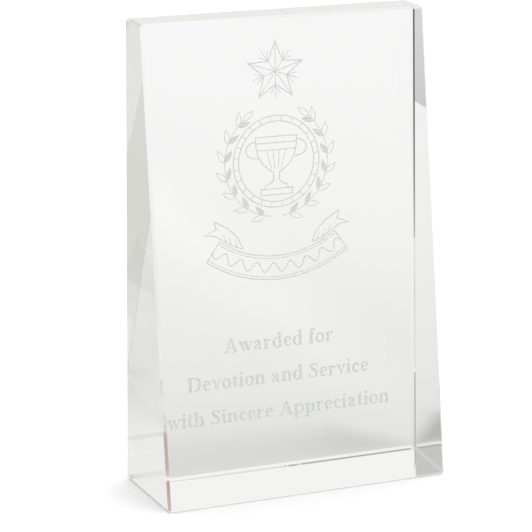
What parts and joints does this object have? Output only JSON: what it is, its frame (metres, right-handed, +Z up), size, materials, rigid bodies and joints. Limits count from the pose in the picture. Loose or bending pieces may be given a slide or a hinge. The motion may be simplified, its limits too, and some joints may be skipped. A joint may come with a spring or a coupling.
{
  "type": "crystal award",
  "caption": "Free-standing clear crystal wedge award with a leaning polished front, chamfered edges and a frosted emblem and lettering on its upright back face.",
  "frame": {"origin": "middle of the underside that the block stands on", "axes": "+X to the reader's right, +Y from the leaning front to the upright back, +Z up"},
  "size_m": [0.1, 0.0376, 0.155],
  "materials": {
    "clear_crystal": "polished optical crystal",
    "frosted_crystal": "frosted"
  },
  "bodies": {
    "root": {"crystal_block": "clear_crystal", "emblem_star": "frosted_crystal", "emblem_ring": "frosted_crystal", "emblem_cup": "frosted_crystal", "laurel_left": "frosted_crystal", "laurel_right": "frosted_crystal", "ribbon_band": "frosted_crystal", "ribbon_tail_left": "frosted_crystal", "ribbon_tail_right": "frosted_crystal", "text_line_1": "frosted_crystal", "text_line_2": "frosted_crystal", "text_line_3": "frosted_crystal"}
  },
  "joints": []
}
